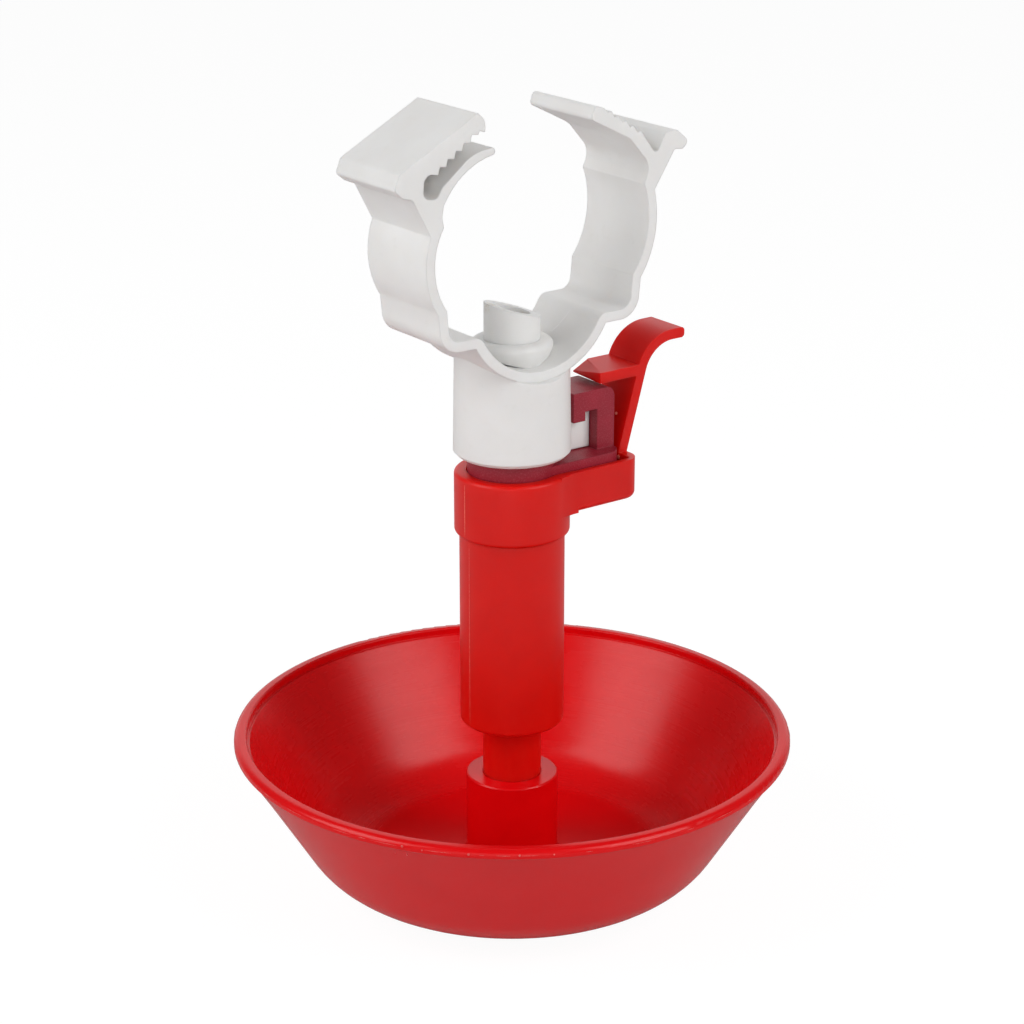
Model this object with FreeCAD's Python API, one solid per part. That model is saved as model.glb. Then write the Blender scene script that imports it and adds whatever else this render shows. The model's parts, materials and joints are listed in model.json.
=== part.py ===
import FreeCAD, Part
import os
from math import atan2, cos, hypot, radians, sin, sqrt, tan

# Hanging cup drinker for a poultry water line.
# Z is the axis of the tube, with zero at the underside of the cup.
# X points along the arm of the latch, and Y along the water pipe. Sizes are in millimetres.

# Cup
cup_r = 48.5
cup_height = 26.8
cup_foot_r = 32.5
cup_corner_r = 14.3
cup_wall = 1.9
cup_floor = 2.0
rim_height = 2.3
rim_width = 2.2
rim_step = 1.4
rim_overhang = 1.0
rim_rounding = 1.1
rim_bevel = 0.25
hub_wall = 2.9
hub_height = 18.1
hub_floor = 4.6
hub_bevel = 0.9
foot_recess_r = 4.2
foot_recess = 3.0

# Stem, and the screw that holds the cup on it
stem_r = 5.1
stem_wall = 2.1
stem_fit = 0.05
stem_plug = 9.0
stem_head = 9.0
stem_show = 10.1
screw_r = 1.5
screw_head_r = 2.8
screw_head = 1.6
screw_length = 9.5
screw_slot = 0.7
screw_play = 0.15
thread_fit = 0.02

# Flange at the head of the stem, with the spring and the washer that lift it
spring_space = 2.0
spring_wire = 0.9
spring_turns = 5
flange_play = 0.4
flange_thickness = 2.0
flange_notch_r = 0.8
flange_notches = 4
washer_thickness = 1.0
washer_play = 0.3
washer_fit = 0.1
stop_gap = 0.05

# Latch sleeve: long tube, collar, arm and lever
sleeve_length = 45.9
tube_wall = 1.9
tube_bevel = 0.6
tube_step = 0.65
guide_height = 3.0
guide_play = 0.3
guide_groove_r = 1.4
guide_grooves = 4
collar_wall = 2.1
collar_height = 11.0
collar_recess = 9.5
collar_rounding = 0.65
arm_length = 11.65
arm_inset = 1.45
arm_height = 7.2
arm_wall = 1.2
arm_floor = 1.6
arm_corner_r = 3.0
arm_edge_r = 1.2
arm_blend_r = 3.0
lever_half_width = 4.2
lever_thickness = 1.8
lever_lean = 16.0
catch_gap = 1.25
catch_thickness = 1.85
catch_reach = 8.6
catch_ramp = 0.8
catch_near_corner = 2.6
catch_far_corner = 6.5
thumb_length = 12.4
thumb_rise = 5.15
thumb_r = 6.0
thumb_rounding = 0.65

# Valve body: barrel, arm and the bracket that hooks over the lug
barrel_length = 25.7
barrel_fit = 0.15
barrel_wall = 1.8
barrel_bevel = 0.5
barrel_seat_gap = 0.1
web_height = 13.8
web_thickness = 3.0
plate_stand = 1.6
plate_thickness = 2.6
plate_skirt = 1.4
plate_corner_r = 3.0
plate_play = 0.2
bracket_half_width = 4.2
bracket_setback = 1.1
bracket_height = 10.3
bracket_bar = 3.1
bracket_post = 3.7
bracket_leg = 2.5
bracket_leg_drop = 1.6
bracket_cheek = 1.9
bracket_rounding = 1.5

# Valve seat, disc and rod
seat_r = 4.6
seat_bore_r = 2.4
seat_thickness = 1.3
valve_lift = 2.5
disc_r = 3.9
disc_thickness = 1.6
rod_r = 1.1
rod_head_r = 2.4
rod_head = 1.0
rod_collar = 0.8
rod_grip = 7.0
rod_play = 0.3

# Sealing rings in the grooves of the barrel
ring_section = 1.3
ring_bevel = 0.38
ring_clearance = 0.04
ring_groove = 1.6
lower_ring_drop = 1.6
upper_ring_drop = 4.0

# Socket of the saddle and its lug
socket_wall = 2.25
socket_gap = 3.1
socket_draft = 1.0
socket_bevel = 0.6
socket_end_gap = 0.4
roof_thickness = 2.4
lug_half_width = 2.2
lug_drop = 1.3
lug_play = 0.15

# Clamp round the pipe
pipe_r = 16.7
clamp_width = 16.6
clamp_wall = 1.7
pocket_slope = 60.0
shoulder_rise = 7.8
shoulder_angle = 47.4
shoulder_rounding = 2.0
foot_inset = 0.5
foot_rounding = 2.2
lower_ridge_gap = 3.1
lower_ridge_angle = -17.0
left_ridge_gap = 4.2
left_ridge_angle = 21.9
right_ridge_gap = 6.4
right_ridge_angle = 23.9
side_bulge = 2.0
kink_drop = 1.2
tongue_bulge = 1.3
jaw_teeth = 5

# Spigot that dips into the pipe, and the ring that seals it
spigot_r = 4.73
spigot_bore_r = 3.1
spigot_height = 10.9
spigot_slope = 21.5
seal_width = 2.1
seal_height = 3.8
seal_fit = 0.1
seal_neck = 0.4
seal_rounding = 1.0

os.makedirs("parts", exist_ok=True)
Z_AXIS = FreeCAD.Vector(0, 0, 1)
FAR = 60.0


def vec(x, y, z):
    return FreeCAD.Vector(x, y, z)


def rounded_edges(points):
    """Edges of a closed outline through corners (u, v), (u, v, radius) or (u, v, -bevel)."""
    corners = [(p[0], p[1], p[2] if len(p) > 2 else 0.0) for p in points]
    trims = []
    for i, (u, v, r) in enumerate(corners):
        if r == 0:
            trims.append(((u, v), None, (u, v)))
            continue
        before = corners[i - 1]
        after = corners[(i + 1) % len(corners)]
        to_before = unit(before[0] - u, before[1] - v)
        to_after = unit(after[0] - u, after[1] - v)
        inward = unit(to_before[0] + to_after[0], to_before[1] + to_after[1])
        turn = to_before[0] * to_after[1] - to_before[1] * to_after[0]
        half = atan2(abs(turn), to_before[0] * to_after[0] + to_before[1] * to_after[1]) / 2
        trim = r / tan(half) if r > 0 else -r
        start = (u + to_before[0] * trim, v + to_before[1] * trim)
        end = (u + to_after[0] * trim, v + to_after[1] * trim)
        depth = r / sin(half) - r
        middle = (u + inward[0] * depth, v + inward[1] * depth) if r > 0 else None
        trims.append((start, middle, end))
    edges = []
    for i, (start, middle, end) in enumerate(trims):
        if middle:
            edges.append((start, middle, end))
        elif start != end:
            edges.append((start, end))
        following = trims[(i + 1) % len(trims)][0]
        if hypot(following[0] - end[0], following[1] - end[1]) > 1e-6:
            edges.append((end, following))
    return edges


def unit(u, v):
    length = hypot(u, v)
    return (u / length, v / length)


def bulge_corner(a, b, bulge):
    """Corner whose rounding is the whole arc from a to b, bulging to the right of that way."""
    half_chord = hypot(b[0] - a[0], b[1] - a[1]) / 2
    radius = (half_chord ** 2 + bulge ** 2) / (2 * bulge)
    rise = half_chord ** 2 / (radius - bulge)
    along = unit(b[0] - a[0], b[1] - a[1])
    mid = ((a[0] + b[0]) / 2, (a[1] + b[1]) / 2)
    return (mid[0] + along[1] * rise, mid[1] - along[0] * rise, radius)


def outline(points, place):
    """Closed wire through the corners, where place(u, v) gives a point in space."""
    edges = []
    for edge in rounded_edges(points):
        ends = [place(u, v) for u, v in edge]
        if len(ends) == 3:
            edges.append(Part.Arc(*ends).toShape())
        else:
            edges.append(Part.LineSegment(*ends).toShape())
    return Part.Wire(edges)


def turned(points):
    """Body of revolution about Z, from corners (radius, height)."""
    wire = outline(points, lambda u, v: vec(u, 0, v))
    return Part.Face(wire).revolve(vec(0, 0, 0), Z_AXIS, 360)


def side_face(points):
    """Flat face in the X-Z plane."""
    return Part.Face(outline(points, lambda u, v: vec(u, 0, v)))


def across(face, y0, y1):
    """Body that a face in the X-Z plane sweeps along Y."""
    swept = face.extrude(vec(0, y1 - y0, 0))
    swept.translate(vec(0, y0, 0))
    return swept


def upright(points, z0, z1):
    """Body with its outline in plan."""
    wire = outline(points, lambda u, v: vec(u, v, z0))
    return Part.Face(wire).extrude(vec(0, 0, z1 - z0))


def block(x0, x1, y0, y1, z0, z1):
    return Part.makeBox(x1 - x0, y1 - y0, z1 - z0, vec(x0, y0, z0))


def disc(radius, z0, z1):
    return Part.makeCylinder(radius, z1 - z0, vec(0, 0, z0))


def ring_of(tool, count):
    """Copies of a body, evenly spaced round Z."""
    copies = []
    for i in range(count):
        copy = tool.copy()
        copy.rotate(vec(0, 0, 0), Z_AXIS, 360.0 * i / count)
        copies.append(copy)
    return Part.makeCompound(copies)


def save(shape, name):
    solid = shape.removeSplitter()
    if len(solid.Solids) != 1 or not solid.isValid():
        raise ValueError(name + " is not one sound solid")
    solid.Solids[0].exportStep("parts/" + name + ".step")
    print(name, round(solid.Volume, 1), "mm3,", len(solid.Faces), "faces")


# Radii from the stem outwards
tube_bore_r = stem_r + spring_space
tube_r = tube_bore_r + tube_wall
flange_r = tube_bore_r - flange_play
socket_bore_r = tube_bore_r + tube_step
socket_r = socket_bore_r + socket_wall
barrel_r = socket_bore_r - barrel_fit
barrel_bore_r = barrel_r - barrel_wall
collar_r = socket_bore_r + collar_wall
hub_r = stem_r + stem_fit + hub_wall
arm_half_width = collar_r - arm_inset
arm_reach = collar_r + arm_length
arm_end_inside = arm_reach - lever_thickness
bracket_reach = arm_end_inside - bracket_setback
lug_reach = bracket_reach - bracket_post - lug_play

# Heights from the cup upwards
tube_bottom = hub_height + stem_show
guide_top = tube_bottom + guide_height
collar_top = tube_bottom + sleeve_length
collar_bottom = collar_top - collar_height
recess_floor = collar_top - collar_recess
arm_bottom = collar_top - arm_height
barrel_bottom = recess_floor + barrel_seat_gap
barrel_top = barrel_bottom + barrel_length
web_bottom = barrel_bottom + web_height
web_top = web_bottom + web_thickness
seat_bottom = web_top - seat_thickness
stem_top = barrel_bottom - stop_gap
washer_top = stem_top - flange_thickness - stop_gap
washer_bottom = washer_top - washer_thickness
disc_bottom = web_top + valve_lift + stop_gap
disc_top = disc_bottom + disc_thickness
plate_top = collar_top + plate_stand
tray_bottom = arm_bottom + arm_floor + plate_play
bracket_top = plate_top + bracket_height
catch_bottom = bracket_top + catch_gap
catch_top = catch_bottom + catch_thickness
lower_ring_z = tray_bottom - lower_ring_drop
upper_ring_z = barrel_top - upper_ring_drop
socket_bottom = collar_top + socket_gap
socket_roof = barrel_top + socket_end_gap
pocket_floor = socket_roof + roof_thickness
shoulder_x = pipe_r * sin(radians(shoulder_angle))
shoulder_z = pocket_floor + shoulder_rise
pipe_z = shoulder_z + pipe_r * cos(radians(shoulder_angle))
clamp_half = clamp_width / 2


def drinking_cup():
    rim_bottom = cup_height - rim_height
    ledge = cup_height - rim_step
    wall_r = cup_r - rim_overhang
    slope = atan2(rim_bottom, wall_r - cup_foot_r)
    inset = cup_wall / sin(slope)

    def inner_r(z):
        return cup_foot_r + z / tan(slope) - inset

    bowl = turned([
        (screw_r + screw_play, foot_recess),
        (foot_recess_r, foot_recess),
        (foot_recess_r, 0),
        (cup_foot_r, 0, cup_corner_r),
        (wall_r, rim_bottom),
        (cup_r, rim_bottom, -rim_bevel),
        (cup_r, cup_height, rim_rounding),
        (cup_r - rim_width, cup_height, -rim_bevel),
        (cup_r - rim_width, ledge),
        (inner_r(ledge), ledge),
        (inner_r(cup_floor), cup_floor, cup_corner_r - cup_wall),
        (hub_r, cup_floor, -hub_bevel),
        (hub_r, hub_height, -rim_bevel),
        (stem_r + stem_fit, hub_height),
        (stem_r + stem_fit, hub_floor),
        (screw_r + screw_play, hub_floor),
    ])
    save(bowl, "drinking_cup")


def cup_screw():
    head_bottom = foot_recess - screw_head
    screw = turned([
        (0, head_bottom),
        (screw_head_r, head_bottom, -screw_head / 4),
        (screw_head_r, foot_recess),
        (screw_r, foot_recess),
        (screw_r, foot_recess + screw_length, -screw_r / 3),
        (0, foot_recess + screw_length),
    ])
    slot = block(-screw_head_r, screw_head_r, -screw_slot / 2, screw_slot / 2,
                 head_bottom, head_bottom + screw_head / 2)
    cross = slot.copy()
    cross.rotate(vec(0, 0, 0), Z_AXIS, 90)
    save(screw.cut(slot.fuse(cross)), "cup_screw")


def stem_tube():
    flange_bottom = stem_top - flange_thickness
    stem = disc(stem_r, hub_floor, stem_top).fuse(disc(flange_r, flange_bottom, stem_top))
    bore = disc(stem_r - stem_wall, hub_floor + stem_plug, stem_top - stem_head)
    screw_hole = disc(screw_r + thread_fit, hub_floor, hub_floor + stem_plug)
    rod_hole = disc(rod_r + thread_fit, stem_top - rod_grip - thread_fit, stem_top)
    notch = Part.makeCylinder(flange_notch_r, flange_thickness, vec(flange_r, 0, flange_bottom))
    cuts = [bore, screw_hole, rod_hole, ring_of(notch, flange_notches)]
    save(stem.cut(Part.makeCompound(cuts)), "stem_tube")


def spring_washer():
    ring = disc(tube_bore_r - washer_play, washer_bottom, washer_top)
    save(ring.cut(disc(stem_r + washer_fit, washer_bottom, washer_top)), "spring_washer")


def lift_spring():
    coil_r = (stem_r + tube_bore_r) / 2
    foot = guide_top + spring_wire / 2 + stop_gap
    height = washer_bottom - spring_wire / 2 - stop_gap - foot
    path = Part.makeHelix(height / spring_turns, height, coil_r)
    path.translate(vec(0, 0, foot))
    half = spring_wire / 2
    section = outline([
        (coil_r - half, foot - half),
        (coil_r + half, foot - half),
        (coil_r + half, foot + half),
        (coil_r - half, foot + half),
    ], lambda u, v: vec(u, 0, v))
    save(Part.Wire(path).makePipeShell([section], True, True), "lift_spring")


def latch_sleeve():
    sleeve = turned([
        (stem_r + guide_play, tube_bottom),
        (tube_r, tube_bottom, -tube_bevel),
        (tube_r, collar_bottom),
        (collar_r, collar_bottom, collar_r - tube_r - 0.05),
        (collar_r, collar_top, collar_rounding),
        (socket_bore_r, collar_top),
        (socket_bore_r, recess_floor),
        (tube_bore_r, recess_floor),
        (tube_bore_r, guide_top),
        (stem_r + guide_play, guide_top),
    ])
    groove = Part.makeCylinder(guide_groove_r, guide_height, vec(stem_r + guide_play, 0, tube_bottom))
    sleeve = sleeve.cut(ring_of(groove, guide_grooves))
    channel = block(0, arm_end_inside, arm_wall - arm_half_width, arm_half_width - arm_wall,
                    arm_bottom + arm_floor, collar_top)
    lever = across(lever_face(), -lever_half_width, lever_half_width)
    save(sleeve.fuse(latch_arm()).cut(channel).fuse([lever, catch_plate()]), "latch_sleeve")


def latch_arm():
    """Arm of the sleeve before its channel is cut. Its sides flow into the collar through a hollow."""
    arm = upright([
        (0, -arm_half_width),
        (arm_reach, -arm_half_width, arm_corner_r),
        (arm_reach, arm_half_width, arm_corner_r),
        (0, arm_half_width),
    ], arm_bottom, collar_top)
    end_edges = [e for e in arm.Edges if e.BoundBox.ZMax < arm_bottom + 1e-3
                 and e.BoundBox.XMin > arm_reach - arm_corner_r - 1e-3]
    arm = arm.makeFillet(arm_edge_r, end_edges)
    blend_y = arm_half_width + arm_blend_r
    blend_x = sqrt((collar_r + arm_blend_r) ** 2 - blend_y ** 2)
    web = upright([(0, 0), (blend_x, -blend_y), (blend_x, blend_y)], arm_bottom, collar_top)
    for y in (-blend_y, blend_y):
        web = web.cut(Part.makeCylinder(arm_blend_r, arm_height, vec(blend_x, y, arm_bottom)))
    middle_r = (socket_bore_r + collar_r) / 2
    return arm.fuse(web).cut(disc(middle_r, arm_bottom, collar_top))


def lever_outside(z):
    """How far out the leaning outside of the lever is at a height."""
    return arm_reach + (z - collar_top) * tan(radians(lever_lean))


def lever_face():
    """Side view of the lever, with the thumb tab at its top."""
    thickness = lever_thickness / cos(radians(lever_lean))
    thumb_top = catch_top + thumb_rise
    thumb_bottom = thumb_top - lever_thickness
    thumb_end = arm_reach + thumb_length
    return side_face([
        (arm_reach, arm_bottom + arm_edge_r),
        (arm_reach, collar_top),
        (lever_outside(thumb_bottom), thumb_bottom, thumb_r),
        (thumb_end, thumb_bottom, thumb_rounding),
        (thumb_end, thumb_top, thumb_rounding),
        (lever_outside(thumb_top) - thickness, thumb_top, thumb_r + lever_thickness),
        (lever_outside(collar_top) - thickness, collar_top),
        (arm_end_inside, arm_bottom + arm_edge_r),
    ])


def catch_plate():
    """Pointed plate on the inside of the lever, with an underside that rises to its point."""
    front = arm_reach - catch_reach
    root = lever_outside(catch_bottom) - lever_thickness / 2
    plate = across(side_face([
        (front, catch_bottom + catch_ramp),
        (front + 3 * catch_ramp, catch_bottom),
        (root, catch_bottom),
        (root, catch_top),
        (front, catch_top),
    ]), -lever_half_width, lever_half_width)
    plan = upright([
        (front, 0),
        (front + catch_near_corner, -lever_half_width),
        (root, -lever_half_width),
        (root, lever_half_width),
        (front + catch_far_corner, lever_half_width),
    ], catch_bottom, catch_top)
    return plate.common(plan)


def valve_body():
    barrel = turned([
        (barrel_bore_r, barrel_bottom),
        (barrel_r, barrel_bottom, -barrel_bevel),
        (barrel_r, barrel_top, -barrel_bevel),
        (barrel_bore_r, barrel_top),
        (barrel_bore_r, web_top),
        (seat_r, web_top),
        (seat_r, seat_bottom),
        (seat_bore_r, seat_bottom),
        (seat_bore_r, web_bottom),
        (barrel_bore_r, web_bottom),
    ])
    root_r = socket_bore_r - ring_section - 2 * ring_clearance
    for z in (lower_ring_z, upper_ring_z):
        low, high = z - ring_groove / 2, z + ring_groove / 2
        barrel = barrel.cut(disc(socket_bore_r, low, high).cut(disc(root_r, low, high)))

    # The arm is an upturned tray that fills the channel of the sleeve
    half = arm_half_width - arm_wall - plate_play
    tray = upright([
        (0, -half),
        (bracket_reach, -half, plate_corner_r),
        (bracket_reach, half, plate_corner_r),
        (0, half),
    ], tray_bottom, plate_top)
    hollow = block(0, bracket_reach - plate_skirt, plate_skirt - half, half - plate_skirt,
                   tray_bottom, plate_top - plate_thickness)
    tray = tray.cut(hollow).cut(disc((barrel_r + barrel_bore_r) / 2, tray_bottom, plate_top))
    save(barrel.fuse(tray).fuse(bracket()), "valve_body")


def bracket():
    """Hooked bracket on the arm: open on the far side, with a short leg on the near side."""
    front = socket_r - lug_play
    bar_bottom = bracket_top - bracket_bar
    post = bracket_reach - bracket_post
    root = plate_top - plate_thickness / 2
    frame = across(side_face([
        (post, root),
        (bracket_reach, root),
        (bracket_reach, bracket_top, bracket_rounding),
        (front, bracket_top),
        (front, bar_bottom),
        (post, bar_bottom),
    ]), -bracket_half_width, bracket_half_width)
    leg = block(front, front + bracket_leg, -bracket_half_width, bracket_cheek - bracket_half_width,
                bar_bottom - bracket_leg_drop, bar_bottom)
    return frame.fuse(leg).cut(disc(socket_r + lug_play, plate_top, bracket_top))


def sealing_ring(z, name):
    """Ring cut from a tube, with its four corners bevelled so far that it works like a round one."""
    outer_r = socket_bore_r - ring_clearance
    inner_r = outer_r - ring_section
    low, high = z - ring_section / 2, z + ring_section / 2
    ring = turned([
        (inner_r, low, -ring_bevel),
        (outer_r, low, -ring_bevel),
        (outer_r, high, -ring_bevel),
        (inner_r, high, -ring_bevel),
    ])
    save(ring, name)


def valve_seat():
    outer_r = seat_r - thread_fit
    save(disc(outer_r, seat_bottom, web_top).cut(disc(seat_bore_r, seat_bottom, web_top)), "valve_seat")


def valve_disc():
    bore = disc(rod_r + thread_fit, disc_bottom, disc_top)
    save(disc(disc_r, disc_bottom, disc_top).cut(bore), "valve_disc")


def valve_rod():
    collar = seat_bore_r - rod_play
    rod = turned([
        (0, stem_top - rod_grip),
        (rod_r, stem_top - rod_grip, -rod_r / 3),
        (rod_r, disc_bottom - rod_collar),
        (collar, disc_bottom - rod_collar),
        (collar, disc_bottom),
        (rod_r, disc_bottom),
        (rod_r, disc_top),
        (rod_head_r, disc_top),
        (rod_head_r, disc_top + rod_head, -rod_head / 2),
        (0, disc_top + rod_head),
    ])
    save(rod, "valve_rod")


def ridge(gap, angle):
    """Place of an inward ridge of the clamp: how far out from the axis, and its height."""
    reach = pipe_r + gap
    return (reach * cos(radians(angle)), pipe_z + reach * sin(radians(angle)))


lower_ridge = ridge(lower_ridge_gap, lower_ridge_angle)
left_ridge = ridge(left_ridge_gap, left_ridge_angle)
right_ridge = ridge(right_ridge_gap, right_ridge_angle)


def clamp_inside():
    """Hollow of the clamp up to its upper ridges, as a face in the X-Z plane."""
    sink = shoulder_x * tan(radians(pocket_slope))
    low_point = shoulder_z - sink
    share = cos(radians(pocket_slope))
    pocket_r = (pocket_floor - low_point) * share / (1 - share)
    right = clamp_side(right_ridge)
    left = [(-p[0],) + tuple(p[1:]) for p in reversed(clamp_side(left_ridge))]
    return side_face([(0, low_point, pocket_r)] + right + left)


def clamp_side(upper_ridge):
    return [
        (shoulder_x, shoulder_z, shoulder_rounding),
        (lower_ridge[0] - foot_inset, shoulder_z, foot_rounding),
        lower_ridge,
        bulge_corner(lower_ridge, upper_ridge, side_bulge),
        upper_ridge,
    ]


def outer_kink(upper_ridge):
    """Where the outside of the ring ends below an upper ridge."""
    corner = bulge_corner(lower_ridge, upper_ridge, side_bulge)
    radius = corner[2]
    half_chord = hypot(upper_ridge[0] - lower_ridge[0], upper_ridge[1] - lower_ridge[1]) / 2
    mid = ((upper_ridge[0] + lower_ridge[0]) / 2, (upper_ridge[1] + lower_ridge[1]) / 2)
    outward = unit(corner[0] - mid[0], corner[1] - mid[1])
    depth = sqrt(radius ** 2 - half_chord ** 2)
    centre = (mid[0] - outward[0] * depth, mid[1] - outward[1] * depth)
    z = upper_ridge[1] - kink_drop
    return (centre[0] + sqrt((radius + clamp_wall) ** 2 - (z - centre[1]) ** 2), z)


def teeth(start, end, crest):
    """Saw teeth from start to end, where crest is the way from a tooth's foot to its tip."""
    points = []
    for i in range(jaw_teeth):
        share = i / jaw_teeth
        foot = (start[0] + (end[0] - start[0]) * share, start[1] + (end[1] - start[1]) * share)
        points.append(foot)
        points.append((foot[0] + crest[0], foot[1] + crest[1]))
    return points + [end]


def left_jaw():
    """Jaw with the toothed roof and a tongue below it, as distances inwards and up from its ridge."""
    tongue_root = (0.0, 3.4)
    tongue_tip = (9.2, 10.3)
    return [
        (0, 0),
        (-0.3, 1.7, 2.0),
        tongue_root,
        bulge_corner(tongue_tip, tongue_root, tongue_bulge),
        tongue_tip,
        (10.4, 10.6, 0.6),
        (9.6, 11.6, 0.5),
        (5.6, 11.0, 8.0),
        (-0.2, 6.4, 1.0),
        (-1.3, 4.6, 1.2),
        (-3.9, 5.0, 1.2),
        (-3.6, 9.0, 1.4),
    ] + teeth((-1.0, 8.5), (6.7, 13.9), (0.3, 1.2)) + [
        (7.0, 14.5),
        (8.1, 14.1, 0.3),
        (8.0, 16.2, 2.0),
        (6.7, 17.3),
        (-8.3, 9.4, 0.8),
        (-9.3, 7.0, 0.8),
        (-7.6, 5.6, 0.8),
        (-5.9, 5.2, 1.2),
        kink_offset(left_ridge),
    ]


def right_jaw():
    """Jaw with the toothed tongue and a short plate outside it, measured like the left one."""
    return [
        (0, 0),
        (-1.2, 3.0, 3.0),
        (3.2, 8.0, 5.0),
        (9.4, 11.1),
        (11.4, 12.1, 0.8),
        (10.6, 14.3, 0.8),
        (8.8, 13.7),
    ] + teeth((8.0, 12.9), (0.2, 7.9), (-0.8, 0.1)) + [
        (-2.4, 4.6, 0.7),
        (-4.3, 8.0, 0.6),
        (-6.6, 8.4, 1.2),
        (-9.4, 6.1, 0.9),
        (-8.0, 4.9, 0.7),
        (-6.3, 5.1, 0.6),
        kink_offset(right_ridge),
    ]


def kink_offset(upper_ridge):
    kink = outer_kink(upper_ridge)
    return (upper_ridge[0] - kink[0], kink[1] - upper_ridge[1])


def jaw_face(points, upper_ridge, side):
    """Places a jaw's outline on the ring: side is 1 on the right and -1 on the left."""
    placed = [(side * (upper_ridge[0] - p[0]), upper_ridge[1] + p[1]) + tuple(p[2:]) for p in points]
    return side_face(placed)


def above_ridges():
    """All that lies above the lines from the upper ridges down to the kinks outside them."""
    right = below_kink(right_ridge)
    left = below_kink(left_ridge)
    return side_face([
        (-left[0], left[1]),
        (-left_ridge[0], left_ridge[1]),
        right_ridge,
        right,
        (FAR, FAR * 3),
        (-FAR, FAR * 3),
    ])


def below_kink(upper_ridge):
    """Point well outside the clamp on the line from an upper ridge through its kink."""
    kink = outer_kink(upper_ridge)
    fall = (upper_ridge[1] - kink[1]) / (kink[0] - upper_ridge[0])
    return (FAR, upper_ridge[1] - (FAR - upper_ridge[0]) * fall)


def saddle_clamp():
    inside = clamp_inside()
    filled = inside.makeOffset2D(clamp_wall, 2)
    clamp = across(filled.cut(above_ridges()), -clamp_half, clamp_half)

    taper = tan(radians(socket_draft)) * (shoulder_z - socket_bottom)
    socket = turned([
        (0, socket_bottom),
        (socket_r, socket_bottom, -socket_bevel),
        (socket_r - taper, shoulder_z),
        (0, shoulder_z),
    ])
    socket = socket.cut(across(filled, -socket_r, socket_r))
    lug = block(socket_r - socket_wall / 2, lug_reach, -lug_half_width, lug_half_width,
                socket_bottom - lug_drop, bracket_top - bracket_bar - lug_play)
    body = clamp.fuse([socket, lug]).cut(across(inside, -socket_r, socket_r))
    neck_r = spigot_r - seal_neck
    neck = disc(neck_r, pocket_floor - roof_thickness / 2, pocket_floor + seal_height)
    spigot = disc(spigot_r, pocket_floor + seal_height, pocket_floor + spigot_height)
    body = body.fuse([neck, spigot.cut(spigot_slice())])
    jaws = [jaw_face(left_jaw(), left_ridge, -1), jaw_face(right_jaw(), right_ridge, 1)]
    body = body.fuse([across(jaw, -clamp_half, clamp_half) for jaw in jaws])
    body = body.cut(disc(socket_bore_r, socket_bottom, socket_roof))
    body = body.cut(disc(spigot_bore_r, socket_roof, pocket_floor + spigot_height))
    save(body, "saddle_clamp")


def spigot_slice():
    """What the oblique cut takes off the top of the spigot."""
    top = pocket_floor + spigot_height
    fall = tan(radians(spigot_slope))
    return across(side_face([
        (-spigot_r, top),
        (2 * spigot_r, top - 3 * spigot_r * fall),
        (2 * spigot_r, top + spigot_r),
        (-spigot_r, top + spigot_r),
    ]), -2 * spigot_r, 2 * spigot_r)


def spigot_seal():
    inner_r = spigot_r - seal_neck + seal_fit
    outer_r = spigot_r + seal_width
    top = pocket_floor + seal_height
    ring = turned([
        (inner_r, pocket_floor),
        (outer_r, pocket_floor),
        (outer_r, top, seal_rounding),
        (inner_r, top),
    ])
    save(ring.common(across(clamp_inside().makeOffset2D(-seal_fit, 2), -FAR, FAR)), "spigot_seal")


drinking_cup()
cup_screw()
stem_tube()
spring_washer()
lift_spring()
latch_sleeve()
valve_body()
sealing_ring(lower_ring_z, "lower_o_ring")
sealing_ring(upper_ring_z, "upper_o_ring")
valve_seat()
valve_disc()
valve_rod()
saddle_clamp()
spigot_seal()
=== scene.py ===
import json
import random
from math import atan2, cos, pi, radians, sin

import bmesh
import bpy
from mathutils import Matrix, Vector
from mathutils.bvhtree import BVHTree


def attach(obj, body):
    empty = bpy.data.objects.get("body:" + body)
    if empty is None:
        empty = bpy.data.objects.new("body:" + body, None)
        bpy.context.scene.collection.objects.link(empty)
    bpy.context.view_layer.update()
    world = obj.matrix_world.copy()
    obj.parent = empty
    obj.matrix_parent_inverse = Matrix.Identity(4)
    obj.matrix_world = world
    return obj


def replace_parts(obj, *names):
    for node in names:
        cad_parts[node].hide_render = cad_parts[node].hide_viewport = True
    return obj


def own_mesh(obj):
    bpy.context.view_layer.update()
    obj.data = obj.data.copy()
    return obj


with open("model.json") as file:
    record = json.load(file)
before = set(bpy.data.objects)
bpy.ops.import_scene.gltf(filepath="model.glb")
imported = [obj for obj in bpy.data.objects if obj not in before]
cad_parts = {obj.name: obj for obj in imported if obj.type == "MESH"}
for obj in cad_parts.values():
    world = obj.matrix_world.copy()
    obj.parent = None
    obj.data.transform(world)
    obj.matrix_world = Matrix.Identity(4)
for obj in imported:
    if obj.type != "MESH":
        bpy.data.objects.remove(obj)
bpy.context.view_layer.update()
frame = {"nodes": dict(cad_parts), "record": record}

# One millimetre in Blender's metres
MM = 0.001

# Camera: it looks down a little, at a point on the drinker's axis
CAMERA_AZIMUTH = 36.5
CAMERA_PITCH = 19.72
CAMERA_DISTANCE = 448.8 * MM
CAMERA_LENS = 92.8
CAMERA_SENSOR = 36.0
CAMERA_CLIP = 10 * MM
AIM_HEIGHT = 66.3 * MM

# Studio: a direction is a bearing to the right of the camera's side, and a height, in degrees
SOFTBOX_DISTANCE = 0.85
SOFTBOX_SIZE = (0.58, 0.62)
SOFTBOX_RIGHT = (58.0, 34.0)
SOFTBOX_LEFT = (-68.0, 34.0)
SOFTBOX_POWER = 4.05
FRONT_SIZE = (0.8, 0.5)
FRONT_PLACE = (-8.0, 10.0)
FRONT_POWER = 1.3

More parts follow.
